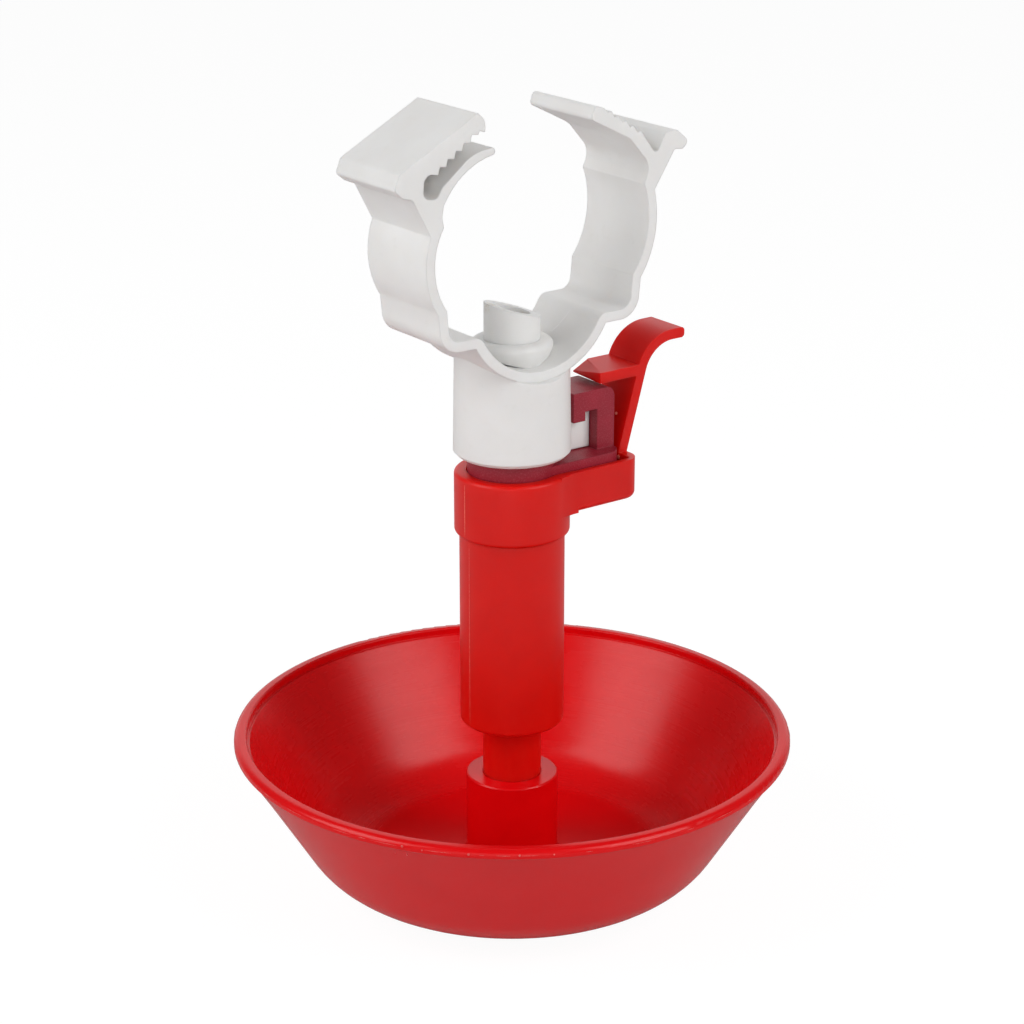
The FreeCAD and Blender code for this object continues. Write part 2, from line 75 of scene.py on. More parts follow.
# Room: its brightness in front of the part and behind it, and the cosines between which it changes
ROOM_FRONT = 0.13
ROOM_BEHIND = 0.85
WALL_FROM = 0.62
WALL_TO = 0.9

# Floor: it lies just below the lowest place that the cup goes down to
FLOOR_SIZE = 3.0
FLOOR_HEIGHT = -2.7 * MM
FLOOR_GREY = 0.7
FLOOR_GLOW = 1.1
FLOOR_GLOW_SHARE = 0.86


def point_on(bearing, elevation, distance):
    """Point that far from the aim of the camera, seen at that bearing from the camera's side."""
    turn = radians(CAMERA_AZIMUTH - bearing)
    level = distance * cos(radians(elevation))
    height = AIM_HEIGHT + distance * sin(radians(elevation))
    return Vector((-level * sin(turn), -level * cos(turn), height))


def aim(thing, place, target):
    """Puts a camera or a lamp at a place and turns it to its target."""
    thing.location = place
    thing.rotation_euler = (target - place).to_track_quat("-Z", "Y").to_euler()


def add_camera():
    """The camera that takes the photo's view."""
    data = bpy.data.cameras.new("camera")
    data.lens = CAMERA_LENS
    data.sensor_width = CAMERA_SENSOR
    data.clip_start = CAMERA_CLIP
    camera = bpy.data.objects.new("camera", data)
    bpy.context.scene.collection.objects.link(camera)
    aim(camera, point_on(0.0, CAMERA_PITCH, CAMERA_DISTANCE), Vector((0, 0, AIM_HEIGHT)))
    bpy.context.scene.camera = camera


def add_softbox(name, direction, size, power):
    """Lamp with a rectangular face, turned to the part."""
    data = bpy.data.lights.new(name, "AREA")
    data.shape = "RECTANGLE"
    data.size, data.size_y = size
    data.energy = power
    lamp = bpy.data.objects.new(name, data)
    bpy.context.scene.collection.objects.link(lamp)
    aim(lamp, point_on(*direction, SOFTBOX_DISTANCE), Vector((0, 0, AIM_HEIGHT)))


# Rays that round off an edge, and the refraction of the hard plastics
BEVEL_SAMPLES = 6
PLASTIC_IOR = 1.49


class Shader:
    """Node tree of a material or a world, with short calls for the nodes used here."""

    def __init__(self, tree):
        self.tree = tree
        tree.nodes.clear()

    def put(self, socket, value):
        """Links another node's output to a socket, or writes a plain value into it."""
        if isinstance(value, bpy.types.NodeSocket):
            self.tree.links.new(value, socket)
        else:
            socket.default_value = value

    def math(self, operation, *values):
        """Result of one operation on numbers or on other nodes' outputs."""
        made = self.tree.nodes.new("ShaderNodeMath")
        made.operation = operation
        for socket, value in zip(made.inputs, values):
            self.put(socket, value)
        return made.outputs[0]

    def ramp(self, value, *stops):
        """Colour or grey that changes along a value: each stop is (position, colour or grey)."""
        made = self.tree.nodes.new("ShaderNodeValToRGB")
        self.put(made.inputs[0], value)
        elements = made.color_ramp.elements
        while len(elements) < len(stops):
            elements.new(0.5)
        for element, (position, colour) in zip(elements, stops):
            element.position = position
            shade = colour if isinstance(colour, tuple) else (colour, colour, colour)
            element.color = (*shade, 1.0)
        return made.outputs[0]

    def mix(self, share, a, b):
        """Mix of two colours."""
        made = self.tree.nodes.new("ShaderNodeMix")
        made.data_type = "RGBA"
        self.put(made.inputs["Factor"], share)
        for socket, value in (("A", a), ("B", b)):
            colour = (*value, 1.0) if isinstance(value, tuple) else value
            self.put([s for s in made.inputs if s.name == socket and s.type == "RGBA"][0], colour)
        return [s for s in made.outputs if s.type == "RGBA"][0]

    def noise(self, coordinates, size, detail=2.0, roughness=0.5):
        """Soft random grey whose blots are about that size."""
        made = self.tree.nodes.new("ShaderNodeTexNoise")
        made.inputs["Scale"].default_value = 1.0 / size
        made.inputs["Detail"].default_value = detail
        made.inputs["Roughness"].default_value = roughness
        self.put(made.inputs["Vector"], coordinates)
        return made.outputs["Fac"]

    def bump(self, height, distance, strength, normal=None):
        """Normal of a surface that is raised by a height from 0 to 1, times a distance."""
        made = self.tree.nodes.new("ShaderNodeBump")
        made.inputs["Strength"].default_value = strength
        made.inputs["Distance"].default_value = distance
        self.put(made.inputs["Height"], height)
        if normal:
            self.put(made.inputs["Normal"], normal)
        return made.outputs[0]


class Plastic(Shader):
    """Material on one Principled shader, with coordinates that stay on the part."""

    def __init__(self, name):
        self.material = bpy.data.materials.new(name)
        self.material.use_nodes = True
        super().__init__(self.material.node_tree)
        output = self.tree.nodes.new("ShaderNodeOutputMaterial")
        self.surface = self.tree.nodes.new("ShaderNodeBsdfPrincipled")
        self.put(output.inputs["Surface"], self.surface.outputs[0])
        coordinates = self.tree.nodes.new("ShaderNodeTexCoord")
        self.place = coordinates.outputs["Object"]
        self.normal = coordinates.outputs["Normal"]
        self.x, self.y, self.z = self.parts(self.place)

    def parts(self, direction):
        """The three parts of a place or a direction."""
        made = self.tree.nodes.new("ShaderNodeSeparateXYZ")
        self.put(made.inputs[0], direction)
        return made.outputs

    def set(self, **values):
        """Puts values into the sockets of the Principled shader, by their names."""
        for name, value in values.items():
            socket = self.surface.inputs[name.replace("_", " ").title().replace("Ior", "IOR")]
            if isinstance(value, tuple) and len(value) == 3 and socket.type == "RGBA":
                value = (*value, 1.0)
            self.put(socket, value)

    def soft_edges(self, radius):
        """Normal of the surface with its edges rounded off, as a mould leaves them."""
        made = self.tree.nodes.new("ShaderNodeBevel")
        made.samples = BEVEL_SAMPLES
        made.inputs["Radius"].default_value = radius
        return made.outputs[0]

    def radius(self):
        """Distance from the axis."""
        x_squared = self.math("MULTIPLY", self.x, self.x)
        y_squared = self.math("MULTIPLY", self.y, self.y)
        return self.math("SQRT", self.math("ADD", x_squared, y_squared))

    def turned(self):
        """Place that is the same all the way round the axis, for marks that run round it."""
        made = self.tree.nodes.new("ShaderNodeCombineXYZ")
        self.put(made.inputs[0], self.radius())
        self.put(made.inputs[2], self.z)
        return made.outputs[0]

    def outwards(self):
        """How far the surface faces away from the axis, times its distance from the axis."""
        facing = self.parts(self.normal)
        along_x = self.math("MULTIPLY", self.x, facing[0])
        return self.math("ADD", along_x, self.math("MULTIPLY", self.y, facing[1]))

    def near(self, place, reach):
        """1 at a place, falling to 0 that far away."""
        apart = self.tree.nodes.new("ShaderNodeVectorMath")
        apart.operation = "DISTANCE"
        self.put(apart.inputs[0], self.place)
        apart.inputs[1].default_value = place
        return self.ramp(self.math("DIVIDE", apart.outputs["Value"], reach), (0.2, 1.0), (1.0, 0.0))


# Yellow stain on the high side of the spigot's mouth
STAIN_PLACE = (-3.6 * MM, 0.6 * MM, 102.9 * MM)
STAIN_REACH = 1.7 * MM


def white_moulding():
    """Off-white plastic of the saddle: soft, a little translucent, with faint flow marks and scuffs."""
    m = Plastic("white_moulding")
    flow = m.noise(m.place, 9 * MM, detail=3)
    grain = m.noise(m.place, 0.35 * MM, detail=3)
    scuffs = m.ramp(m.noise(m.place, 2.2 * MM, detail=6, roughness=0.7), (0.58, 0.0), (0.72, 1.0))
    tone = m.ramp(flow, (0.3, (0.85, 0.84, 0.825)), (0.7, (0.885, 0.88, 0.87)))
    blots = m.ramp(grain, (0.42, 0.15), (0.6, 0.8))
    stain = m.math("MULTIPLY", m.near(STAIN_PLACE, STAIN_REACH), blots)
    tone = m.mix(stain, tone, (0.62, 0.52, 0.36))
    m.set(
        base_color=m.mix(m.math("MULTIPLY", scuffs, 0.25), tone, (0.76, 0.75, 0.72)),
        roughness=m.math("ADD", 0.38, m.math("MULTIPLY", scuffs, 0.12)),
        subsurface_weight=0.3,
        subsurface_radius=(1.0, 0.9, 0.8),
        subsurface_scale=1.4 * MM,
        ior=PLASTIC_IOR,
    )
    height = m.math("ADD", m.math("MULTIPLY", grain, 0.25), flow)
    m.set(normal=m.bump(height, 0.05 * MM, 0.5, m.soft_edges(0.35 * MM)))
    return m.material


def seal_moulding():
    """Milky flexible ring at the foot of the spigot."""
    m = Plastic("seal_moulding")
    flow = m.noise(m.place, 3 * MM, detail=3)
    m.set(
        base_color=m.ramp(flow, (0.3, (0.83, 0.825, 0.81)), (0.7, (0.87, 0.865, 0.85))),
        roughness=0.34,
        subsurface_weight=0.35,
        subsurface_radius=(1.0, 0.9, 0.8),
        subsurface_scale=1.4 * MM,
        ior=1.45,
    )
    m.set(normal=m.bump(flow, 0.08 * MM, 0.6, m.soft_edges(0.3 * MM)))
    return m.material


def maroon_moulding():
    """Dark red plastic with a fine pale speckle."""
    m = Plastic("maroon_moulding")
    speckle = m.ramp(m.noise(m.place, 0.28 * MM, detail=4, roughness=0.75), (0.5, 0.0), (0.75, 1.0))
    cloud = m.noise(m.place, 4 * MM, detail=3)
    tone = m.ramp(cloud, (0.3, (0.28, 0.010, 0.024)), (0.7, (0.34, 0.014, 0.032)))
    m.set(
        base_color=m.mix(m.math("MULTIPLY", speckle, 0.5), tone, (0.52, 0.11, 0.14)),
        roughness=0.40,
        specular_ior_level=0.4,
        ior=PLASTIC_IOR,
    )
    m.set(normal=m.bump(m.math("ADD", speckle, cloud), 0.03 * MM, 0.6, m.soft_edges(0.3 * MM)))
    return m.material


def red_moulding():
    """Satin red plastic of the sleeve and the stem."""
    m = Plastic("red_moulding")
    cloud = m.noise(m.place, 7 * MM, detail=3)
    grain = m.noise(m.place, 0.22 * MM, detail=3, roughness=0.6)
    tone = m.ramp(cloud, (0.3, (0.70, 0.0040, 0.0014)), (0.7, (0.75, 0.0055, 0.0022)))
    specks = m.math("MULTIPLY", m.ramp(grain, (0.55, 0.0), (0.8, 1.0)), 0.15)
    m.set(
        base_color=m.mix(specks, tone, (0.78, 0.04, 0.03)),
        roughness=m.math("ADD", 0.33, m.math("MULTIPLY", grain, 0.1)),
        specular_ior_level=0.33,
        subsurface_weight=0.85,
        subsurface_radius=(1.0, 0.06, 0.04),
        subsurface_scale=3.0 * MM,
        ior=PLASTIC_IOR,
    )
    height = m.math("ADD", m.math("MULTIPLY", grain, 0.35), cloud)
    m.set(normal=m.bump(height, 0.04 * MM, 0.5, m.soft_edges(0.25 * MM)))
    return m.material


# Span of outwards() over which the cup's turning marks fade
INSIDE_FADE = 20 * MM


def cup_moulding():
    """Glossy deep red plastic of the cup, with fine turning marks of its mould on the inside."""
    m = Plastic("cup_moulding")
    turning = m.noise(m.turned(), 1.0 * MM, detail=3, roughness=0.6)
    patches = m.noise(m.place, 5 * MM, detail=3)
    facing = m.math("MULTIPLY_ADD", m.outwards(), 1 / INSIDE_FADE, 0.5)
    inside = m.ramp(facing, (0.3, 1.0), (0.6, 0.06))
    streaks = m.math("MULTIPLY", m.math("MULTIPLY", turning, patches), inside)
    cloud = m.noise(m.place, 14 * MM, detail=3)
    tone = m.ramp(cloud, (0.3, (0.74, 0.0010, 0.0030)), (0.7, (0.79, 0.0018, 0.0042)))
    m.set(
        base_color=tone,
        roughness=m.math("ADD", 0.23, m.math("MULTIPLY", streaks, 0.17)),
        specular_ior_level=0.3,
        ior=PLASTIC_IOR,
    )
    m.set(normal=m.bump(cloud, 0.06 * MM, 0.5, m.soft_edges(0.3 * MM)))
    return m.material


def flash_with_painted_highlight(name, low, high):
    """Thin flash and pips of a moulding, paler than the plastic round them: the paleness is a painted
    highlight for the light that catches and shines through them.
    """
    m = Plastic(name)
    grain = m.noise(m.place, 0.4 * MM, detail=3)
    m.set(base_color=m.ramp(grain, (0.35, low), (0.65, high)), roughness=0.3, ior=PLASTIC_IOR)
    m.set(normal=m.bump(grain, 0.02 * MM, 0.5))
    return m.material


def black_rubber():
    """Matt black rubber of the sealing rings and the valve."""
    m = Plastic("black_rubber")
    grain = m.noise(m.place, 0.2 * MM, detail=3)
    m.set(base_color=m.ramp(grain, (0.3, 0.010), (0.7, 0.020)), roughness=0.5)
    m.set(normal=m.bump(grain, 0.02 * MM, 0.5))
    return m.material


def stainless():
    """Stainless steel of the spring, the rod and the screw, with fine lines round the axis."""
    m = Plastic("stainless_steel")
    lines = m.noise(m.turned(), 0.08 * MM, detail=2)
    m.set(
        base_color=m.ramp(lines, (0.3, 0.55), (0.7, 0.66)),
        metallic=1.0,
        roughness=m.math("ADD", 0.22, m.math("MULTIPLY", lines, 0.12)),
    )
    m.set(normal=m.bump(lines, 0.01 * MM, 0.4))
    return m.material


# Materials by the names of the record's slots
FINISHES = {
    "white_plastic": white_moulding(),
    "seal_rubber": seal_moulding(),
    "maroon_plastic": maroon_moulding(),
    "red_plastic": red_moulding(),
    "cup_plastic": cup_moulding(),
    "black_rubber": black_rubber(),
    "stainless": stainless(),
}
# Finishes of the flash, seams and pips: lighter than their plastic, as painted highlight
PAINTED_HIGHLIGHT_FLASHES = {
    "white_plastic": flash_with_painted_highlight("white_flash_painted_highlight", (0.90, 0.89, 0.88), (0.94, 0.93, 0.92)),
    "red_plastic": flash_with_painted_highlight("red_flash_painted_highlight", (0.90, 0.10, 0.07), (0.93, 0.26, 0.20)),
    "cup_plastic": flash_with_painted_highlight("cup_flash_painted_highlight", (0.77, 0.02, 0.02), (0.83, 0.20, 0.18)),
}


# Shapes, in millimetres: points that near are merged, and edges that turn more stay sharp
MERGE_DISTANCE = 0.001
EDGE_ANGLE = 30.0

# Mouth of the spigot: the plane that its upper edge lies in
MOUTH_HEIGHT = 102.1
MOUTH_SLOPE = (-0.29, 0.05)
MOUTH_FROM = 99.9
MOUTH_REACH = 4.85

# Bar of the bracket: its top is raised, and the rise starts that far below it
BRACKET_TOP = 86.0
BRACKET_RAISE = 0.4
BRACKET_BEND = 2.0

# Nose of the catch plate: it is cut back to a slanting line, and a sloping tip runs on from it
NOSE_NEAR = (15.5, -4.2)
NOSE_FAR = (19.4, 4.2)
NOSE_TIP = (16.2, 4.2, 87.5)
NOSE_HEIGHTS = (87.25, 89.1)
NOSE_CUT_TO = 8.0
NOSE_CUT_SIDE = 1.0
NOSE_CUT_ABOVE = 0.6
NOSE_OVERLAP = 0.5
NOSE_INSET = 0.99

# Blend of the collar into the sides of its arm
COLLAR_R = 9.85
ARM_SIDE = 8.4
ARM_HEIGHTS = (66.9, 74.1)
FILLET_R = 12.0
FILLET_STEPS = 12
FILLET_OVERLAP = 1.5

# Underside of the cup's rim: its height, the wall's radius below it, and the points that are moved
RIM_EDGE = 24.5
RIM_EDGE_BAND = (-0.1, 0.4)
RIM_RAISE = 0.6
RIM_WALL = 47.5
RIM_WALL_BAND = (-0.5, 0.3)
WALL_LEAN = 0.9

# Soft ring at the foot of the spigot
SEAL_CUTS = 3
SEAL_SWELL = 0.13
SEAL_HEIGHTS = (93.2, 97.0)
SEAL_TAPER = 1.3
SEAL_FOOT_R = 5.1
SEAL_FOOT_FROM = 0.95
SEAL_SINK = 0.35
SEAL_VOXEL = 0.2
SEAL_SMOOTHING = 0.6
SEAL_SMOOTHING_ROUNDS = 8


def shaped_copy(node):
    """Copy of a node's mesh as one closed skin, in millimetres."""
    skin = bmesh.new()
    skin.from_mesh(frame["nodes"][node].data)
    bmesh.ops.remove_doubles(skin, verts=skin.verts, dist=MERGE_DISTANCE * MM)
    bmesh.ops.scale(skin, vec=(1 / MM, 1 / MM, 1 / MM), verts=skin.verts)
    return skin


def as_piece(skin, name, body, slot, sharp=EDGE_ANGLE, finishes=FINISHES):
    """Piece made of a skin in millimetres: smooth, apart from edges that turn by more degrees."""
    bmesh.ops.scale(skin, vec=(MM, MM, MM), verts=skin.verts)
    mesh = bpy.data.meshes.new(name)
    skin.to_mesh(mesh)
    skin.free()
    if "custom_normal" in mesh.attributes:
        mesh.attributes.remove(mesh.attributes["custom_normal"])
    mesh.shade_smooth()
    mesh.set_sharp_from_angle(angle=radians(sharp))
    mesh.materials.append(finishes[slot])
    piece = bpy.data.objects.new(name, mesh)
    bpy.context.scene.collection.objects.link(piece)
    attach(piece, body)
    return piece


def combine(skin, operation, tool):
    """The first skin with the tool joined to it or cut from it."""
    things = []
    for name, part in (("base", skin), ("tool", tool)):
        mesh = bpy.data.meshes.new(name)
        part.to_mesh(mesh)
        part.free()
        thing = bpy.data.objects.new(name, mesh)
        bpy.context.scene.collection.objects.link(thing)
        things.append(thing)
    step = things[0].modifiers.new(operation, "BOOLEAN")
    step.operation = operation
    step.solver = "EXACT"
    step.object = things[1]
    result = bmesh.new()
    result.from_object(things[0], bpy.context.evaluated_depsgraph_get())
    for thing in things:
        mesh = thing.data
        bpy.data.objects.remove(thing)
        bpy.data.meshes.remove(mesh)
    return result


def hull(points):
    """Closed solid stretched round some points."""
    skin = bmesh.new()
    for point in points:
        skin.verts.new(point)
    bmesh.ops.convex_hull(skin, input=skin.verts)
    bmesh.ops.recalc_face_normals(skin, faces=skin.faces)
    return skin


def prism(outline, low, high):
    """Closed solid between two heights over an outline in plan."""
    skin = bmesh.new()
    floor = skin.faces.new([skin.verts.new((x, y, low)) for x, y in outline])
    raised = bmesh.ops.extrude_face_region(skin, geom=[floor])
    moved = [item for item in raised["geom"] if isinstance(item, bmesh.types.BMVert)]
    bmesh.ops.translate(skin, vec=(0, 0, high - low), verts=moved)
    bmesh.ops.recalc_face_normals(skin, faces=skin.faces)
    return skin


def add_saddle():
    """The saddle, with the slanting mouth of its spigot turned a little more to the front."""
    skin = shaped_copy("saddle_clamp")
    for vert in skin.verts:
        x, y, z = vert.co
        if z > MOUTH_FROM and Vector((x, y)).length < MOUTH_REACH:
            vert.co.z = MOUTH_HEIGHT + MOUTH_SLOPE[0] * x + MOUTH_SLOPE[1] * y
    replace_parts(as_piece(skin, "saddle_body", "head", "white_plastic"), "saddle_clamp")


def add_valve_body():
    """The valve body, with the bar of its bracket a little higher."""
    skin = shaped_copy("valve_body")
    for vert in skin.verts:
        x, y, z = vert.co
        if x > COLLAR_R and z > BRACKET_TOP - BRACKET_BEND:
            vert.co.z += BRACKET_RAISE * (z - BRACKET_TOP + BRACKET_BEND) / BRACKET_BEND
    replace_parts(as_piece(skin, "valve_housing", "head", "maroon_plastic"), "valve_body")


def blend_outline(side):
    """Outline in plan of the hollow blend where the round collar runs into the side of its arm."""
    across = ARM_SIDE + FILLET_R
    along = ((COLLAR_R + FILLET_R) ** 2 - across ** 2) ** 0.5
    turn = atan2(along, across)
    points = []
    for step in range(FILLET_STEPS + 1):
        angle = turn * step / FILLET_STEPS
        points.append((along - FILLET_R * sin(angle), side * (FILLET_R * cos(angle) - across)))
    hidden = -side * (ARM_SIDE - FILLET_OVERLAP)
    return points + [(points[-1][0], hidden), (along, hidden)]


def add_sleeve():
    """The latch sleeve, with the slanting nose of its catch plate and a blend from collar to arm."""
    skin = shaped_copy("latch_sleeve")
    low, high = NOSE_HEIGHTS
    (near_x, near_y), (far_x, far_y) = NOSE_NEAR, NOSE_FAR
    near_side, far_side = near_y - NOSE_CUT_SIDE, far_y + NOSE_CUT_SIDE
    cut = [(near_x, near_side), (far_x, far_side), (NOSE_CUT_TO, far_side), (NOSE_CUT_TO, near_side)]
    skin = combine(skin, "DIFFERENCE", prism(cut, low - NOSE_CUT_ABOVE, high + NOSE_CUT_ABOVE))
    corners = [(near_x, near_y, low), (near_x, near_y, high), (far_x, far_y, low), (far_x, far_y, high)]
    inside = [(x + NOSE_OVERLAP, y * NOSE_INSET, z) for x, y, z in corners]
    tips = [NOSE_TIP, (NOSE_TIP[0], NOSE_TIP[1], low), (near_x, near_y, low)]
    skin = combine(skin, "UNION", hull(corners + inside + tips))
    for side in (1, -1):
        skin = combine(skin, "UNION", prism(blend_outline(side), *ARM_HEIGHTS))
    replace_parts(as_piece(skin, "sleeve_body", "head", "red_plastic"), "latch_sleeve")


def add_cup():
    """The cup, with the underside of its rim a little higher."""
    skin = shaped_copy("drinking_cup")
    lowest, highest = (RIM_EDGE + rise for rise in RIM_EDGE_BAND)
    nearest, wall_end = (RIM_WALL + step for step in RIM_WALL_BAND)
    for vert in skin.verts:
        x, y, z = vert.co
        reach = Vector((x, y)).length
        if reach > nearest and lowest < z < highest:
            vert.co.z += RIM_RAISE
            if reach < wall_end:
                vert.co.x *= 1 + WALL_LEAN * RIM_RAISE / reach
                vert.co.y *= 1 + WALL_LEAN * RIM_RAISE / reach
    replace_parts(as_piece(skin, "cup_dish", "cup", "cup_plastic"), "drinking_cup")


def add_seal():
    """The soft ring at the foot of the spigot: narrower below, and soft at all its edges."""
    low, high = SEAL_HEIGHTS
    skin = shaped_copy("spigot_seal")
    bmesh.ops.subdivide_edges(skin, edges=skin.edges, cuts=SEAL_CUTS, use_grid_fill=True)
    skin.normal_update()
    for vert in skin.verts:
        vert.co += vert.normal * SEAL_SWELL
        reach = Vector((vert.co.x, vert.co.y)).length
        share = min(max((high - vert.co.z) / (high - low), 0.0), 1.0)
        if reach > SEAL_FOOT_R:
            narrow = max(reach - SEAL_TAPER * share ** 2, SEAL_FOOT_R) / reach
            vert.co.x *= narrow
            vert.co.y *= narrow
        if share > SEAL_FOOT_FROM:
            vert.co.z -= SEAL_SINK
    ring = as_piece(skin, "seal_ring", "head", "seal_rubber")
    even = ring.modifiers.new("skin", "REMESH")
    even.mode = "VOXEL"
    even.voxel_size = SEAL_VOXEL * MM
    even.use_smooth_shade = True
    soft = ring.modifiers.new("soft", "SMOOTH")
    soft.factor = SEAL_SMOOTHING
    soft.iterations = SEAL_SMOOTHING_ROUNDS
    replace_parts(ring, "spigot_seal")


# Lift spring: its foot stands on the sleeve's floor
SPRING_R = 6.1
SPRING_WIRE_R = 0.45
SPRING_HEIGHTS = (31.25, 61.55)
SPRING_TURNS = 6.6
SPRING_END_TURNS = 0.8
SPRING_END_RISE = 2.2 * SPRING_WIRE_R
SPRING_STEPS = 40
SPRING_EDGE_ANGLE = 50.0
WIRE_SIDES = 10


def circle_point(radius, degrees, height):
    """Point at a radius and a turn round the axis, and at a height."""
    return Vector((radius * cos(radians(degrees)), radius * sin(radians(degrees)), height))


def add_ring(skin, middle, out, side, radius, sides):
    """Ring of points round a middle, in the plane of two directions."""
    ring = []
    for corner in range(sides):
        turn = 2 * pi * corner / sides
        ring.append(skin.verts.new(middle + radius * (cos(turn) * out + sin(turn) * side)))
    return ring


def join_rings(skin, rings):
    """Closed tube through some rings of points."""
    sides = len(rings[0])
    for first, second in zip(rings, rings[1:]):
        for corner in range(sides):
            after = (corner + 1) % sides
            skin.faces.new((first[corner], first[after], second[after], second[corner]))
    skin.faces.new(rings[0][::-1])
    skin.faces.new(rings[-1])


def spring_rise(turns):
    """Share of the spring's height after so many turns: the turns at both ends lie nearly flat."""
    flat = SPRING_END_RISE / (SPRING_HEIGHTS[1] - SPRING_HEIGHTS[0])
    middle = SPRING_TURNS - 2 * SPRING_END_TURNS
    if turns < SPRING_END_TURNS:
        return flat * turns / SPRING_END_TURNS
    if turns > SPRING_TURNS - SPRING_END_TURNS:
        return 1 - flat * (SPRING_TURNS - turns) / SPRING_END_TURNS
    return flat + (1 - 2 * flat) * (turns - SPRING_END_TURNS) / middle


def add_spring():
    """The lift spring of round wire."""
    bottom, top = SPRING_HEIGHTS
    low, high = bottom + SPRING_WIRE_R, top - SPRING_WIRE_R
    up = Vector((0, 0, 1))
    skin = bmesh.new()
    rings = []
    for step in range(int(SPRING_TURNS * SPRING_STEPS) + 1):
        turns = step / SPRING_STEPS
        out = circle_point(1.0, 360.0 * turns, 0.0)
        middle = circle_point(SPRING_R, 360.0 * turns, low + (high - low) * spring_rise(turns))
        rings.append(add_ring(skin, middle, out, up, SPRING_WIRE_R, WIRE_SIDES))
    join_rings(skin, rings)
    bmesh.ops.recalc_face_normals(skin, faces=skin.faces)
    spring = as_piece(skin, "coil_spring", "head", "stainless", SPRING_EDGE_ANGLE)
    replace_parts(spring, "lift_spring")
    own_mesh(spring)


# Threads of plastic that the moulds leave: a line has its two ends and its thickness
MARK_EDGE_ANGLE = 80.0
BEAD_SIDES = 6
BEAD_SIZES = (0.6, 1.0)
BEAD_END = 0.01
BEAD_TAPER = 0.35
FLASH_R = 48.47
FLASH_HEIGHT = 25.95
FLASH_THICKNESS = 0.055
FLASH_SIZES = (0.7, 1.1)
FLASH_RUNS = (1.0, 6.0)
FLASH_GAPS = (1.0, 9.0)
FLASH_STEP = 1.2
FLASH_LEAST_STEPS = 3
SEAM_STEP = 0.7
SEAM_LEAST_STEPS = 6
PARTING_LINES = (
    ((-9.85, 0, 64.0), (-9.85, 0, 73.2), 0.11),
    ((-9.0, 0, 28.8), (-9.0, 0, 62.6), 0.07),
)
WELD_LINE = ((8.6, 0.9, 96.3), (12.0, -0.8, 100.6), 0.07)

# Pips: each has its place and its size
PIP_SINK = 0.2
PIP_SIZES = (0.85, 1.1)
PIP_ROUNDNESS = 2
CUP_PIPS = (
    ((-40.9, -25.9, 26.0), 0.24),
    ((-39.4, -29.0, 26.0), 0.16),
    ((-34.1, -34.5, 26.0), 0.24),
    ((-27.8, -39.6, 26.0), 0.18),
    ((-23.2, -42.6, 26.0), 0.14),
    ((-40.6, -26.6, 23.6), 0.14),
    ((-41.6, -24.8, 23.0), 0.11),
)
# The lever's pips are moulding pips on two small bright spots; their pale colour is painted highlight
LEVER_PIPS = (
    ((21.2, -1.34, 80.27), 0.3),
    ((19.9, -4.2, 73.4), 0.42),
)
POCKET_PIPS = (
    ((0.6, -5.9, 93.3), 0.14),
    ((0.9, -6.3, 93.3), 0.12),
)


def add_bead(skin, points, thickness, draw):
    """Uneven thread of plastic along some points, thin at both ends."""
    rings = []
    last = len(points) - 1
    for index, point in enumerate(points):
        along = (points[min(index + 1, last)] - points[max(index - 1, 0)]).normalized()
        out = Vector((point.x, point.y, 0)).normalized()
        side = along.cross(out).normalized()
        out = side.cross(along)
        taper = max(BEAD_END, sin(pi * index / last)) ** BEAD_TAPER
        size = thickness * draw.uniform(*BEAD_SIZES) * taper
        rings.append(add_ring(skin, point, out, side, size, BEAD_SIDES))
    join_rings(skin, rings)


def add_rim_flash(seed):
    """Broken thread round the cup's rim: runs of random length, in degrees, with gaps between them."""
    draw = random.Random(seed)
    skin = bmesh.new()
    start = 0.0
    while start < 360.0:
        end = min(start + draw.uniform(*FLASH_RUNS), 360.0)
        steps = max(FLASH_LEAST_STEPS, int((end - start) / FLASH_STEP))
        turns = [start + (end - start) * step / steps for step in range(steps + 1)]
        arc = [circle_point(FLASH_R, turn, FLASH_HEIGHT) for turn in turns]
        add_bead(skin, arc, FLASH_THICKNESS * draw.uniform(*FLASH_SIZES), draw)
        start = end + draw.uniform(*FLASH_GAPS)
    bmesh.ops.recalc_face_normals(skin, faces=skin.faces)
    as_piece(skin, "rim_flash", "cup", "cup_plastic", MARK_EDGE_ANGLE, PAINTED_HIGHLIGHT_FLASHES)


def settled(node, points, lift=0.0):
    """The points moved onto a node's surface, and raised from it by some lift."""
    mesh = frame["nodes"][node].data
    corners = [vertex.co / MM for vertex in mesh.vertices]
    surface = BVHTree.FromPolygons(corners, [face.vertices for face in mesh.polygons])
    placed = []
    for point in points:
        place, normal, _, _ = surface.find_nearest(Vector(point))
        placed.append(place + normal * lift)
    return placed


def add_seam(name, node, slot, line, seed):
    """Thin raised line that a parting or a weld leaves between two points of a surface."""
    draw = random.Random(seed)
    start, end = Vector(line[0]), Vector(line[1])
    steps = max(SEAM_LEAST_STEPS, int((end - start).length / SEAM_STEP))
    path = settled(node, [start.lerp(end, step / steps) for step in range(steps + 1)])
    skin = bmesh.new()
    add_bead(skin, path, line[2], draw)
    bmesh.ops.recalc_face_normals(skin, faces=skin.faces)
    as_piece(skin, name, "head", slot, MARK_EDGE_ANGLE, PAINTED_HIGHLIGHT_FLASHES)


def add_pips(name, node, body, slot, pips, seed):
    """Pips of plastic, each a small uneven ball half sunk in its node's surface."""
    draw = random.Random(seed)
    skin = bmesh.new()
    for place, size in pips:
        made = bmesh.ops.create_icosphere(skin, subdivisions=PIP_ROUNDNESS, radius=size)
        middle = settled(node, [place], -PIP_SINK * size)[0]
        for vert in made["verts"]:
            vert.co = middle + vert.co * draw.uniform(*PIP_SIZES)
    as_piece(skin, name, body, slot, MARK_EDGE_ANGLE, PAINTED_HIGHLIGHT_FLASHES)


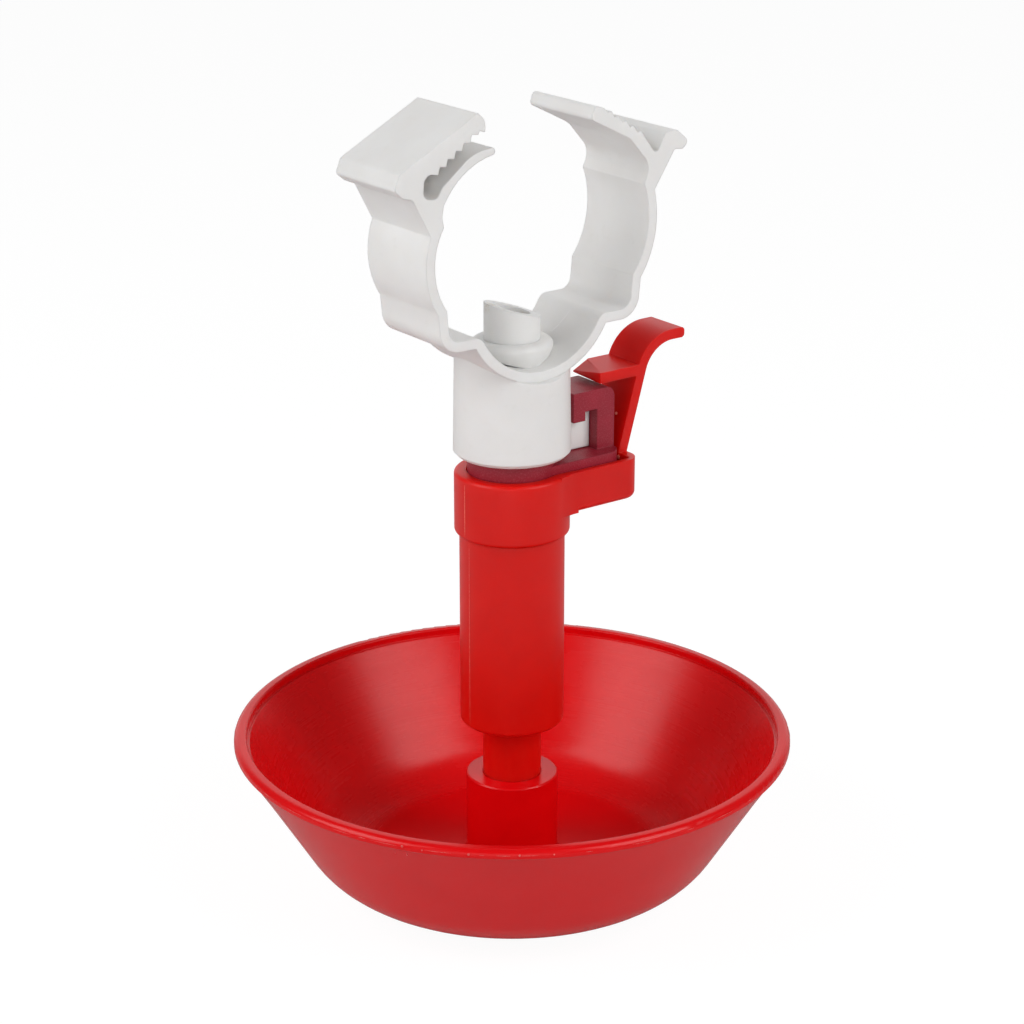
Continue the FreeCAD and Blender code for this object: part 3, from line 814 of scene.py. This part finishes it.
def add_marks():
    """Flash, lines and pips, each with its own seed."""
    add_rim_flash(4)
    for index, line in enumerate(PARTING_LINES):
        add_seam(f"parting_line_{index + 1}", "latch_sleeve", "red_plastic", line, index)
    add_seam("weld_line", "saddle_clamp", "white_plastic", WELD_LINE, 5)
    add_pips("cup_pips", "drinking_cup", "cup", "cup_plastic", CUP_PIPS, 2)
    add_pips("lever_pips", "latch_sleeve", "head", "red_plastic", LEVER_PIPS, 3)
    add_pips("pocket_pips", "saddle_clamp", "head", "white_plastic", POCKET_PIPS, 6)


def finish_nodes():
    """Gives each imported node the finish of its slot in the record."""
    for part in frame["record"]["subparts"]:
        piece = frame["nodes"][part["node"]]
        piece.data.materials.clear()
        piece.data.materials.append(FINISHES[part["material_slot"]])


def add_floor():
    """Pale floor that is white to the camera, apart from part of the shadow on it."""
    half = FLOOR_SIZE / 2
    outline = ((-half, -half), (half, -half), (half, half), (-half, half))
    corners = [(x, y, FLOOR_HEIGHT) for x, y in outline]
    mesh = bpy.data.meshes.new("floor")
    mesh.from_pydata(corners, [], [(0, 1, 2, 3)])
    floor = bpy.data.objects.new("floor", mesh)
    bpy.context.scene.collection.objects.link(floor)
    material = bpy.data.materials.new("floor_card")
    material.use_nodes = True
    shader = Shader(material.node_tree)
    card = shader.tree.nodes.new("ShaderNodeBsdfDiffuse")
    card.inputs[0].default_value = (FLOOR_GREY, FLOOR_GREY, FLOOR_GREY, 1.0)
    glow = shader.tree.nodes.new("ShaderNodeEmission")
    glow.inputs[1].default_value = FLOOR_GLOW
    blend = shader.tree.nodes.new("ShaderNodeMixShader")
    path = shader.tree.nodes.new("ShaderNodeLightPath")
    shader.put(blend.inputs[0], shader.math("MULTIPLY", path.outputs["Is Camera Ray"], FLOOR_GLOW_SHARE))
    shader.put(blend.inputs[1], card.outputs[0])
    shader.put(blend.inputs[2], glow.outputs[0])
    output = shader.tree.nodes.new("ShaderNodeOutputMaterial")
    shader.put(output.inputs[0], blend.outputs[0])
    mesh.materials.append(material)


def light_room():
    """World: white to the camera. The part sees a white wall behind it and a dim room in front."""
    world = bpy.data.worlds.new("room")
    bpy.context.scene.world = world
    world.use_nodes = True
    shader = Shader(world.node_tree)
    path = shader.tree.nodes.new("ShaderNodeLightPath")
    facing = shader.tree.nodes.new("ShaderNodeVectorMath")
    facing.operation = "DOT_PRODUCT"
    shader.put(facing.inputs[0], shader.tree.nodes.new("ShaderNodeTexCoord").outputs["Generated"])
    behind = radians(CAMERA_AZIMUTH)
    facing.inputs[1].default_value = (sin(behind), cos(behind), 0.0)
    room = shader.ramp(facing.outputs["Value"], (WALL_FROM, ROOM_FRONT), (WALL_TO, ROOM_BEHIND))
    wall = shader.ramp(facing.outputs["Value"], (WALL_FROM, 0.0), (WALL_TO, 1.0))
    mirrored = shader.math("MULTIPLY", path.outputs["Is Glossy Ray"], wall)
    seen = shader.math("MAXIMUM", path.outputs["Is Camera Ray"], path.outputs["Is Transmission Ray"])
    background = shader.tree.nodes.new("ShaderNodeBackground")
    background.inputs[0].default_value = (1.0, 1.0, 1.0, 1.0)
    shown = shader.math("MAXIMUM", shader.math("MAXIMUM", seen, mirrored), room)
    shader.put(background.inputs[1], shown)
    output = shader.tree.nodes.new("ShaderNodeOutputWorld")
    shader.put(output.inputs[0], background.outputs[0])


add_camera()
add_softbox("softbox_right", SOFTBOX_RIGHT, SOFTBOX_SIZE, SOFTBOX_POWER)
add_softbox("softbox_left", SOFTBOX_LEFT, SOFTBOX_SIZE, SOFTBOX_POWER)
add_softbox("softbox_front", FRONT_PLACE, FRONT_SIZE, FRONT_POWER)
add_floor()
light_room()
finish_nodes()
add_saddle()
add_valve_body()
add_sleeve()
add_cup()
add_seal()
add_spring()
add_marks()
bpy.context.scene.view_settings.view_transform = "Standard"
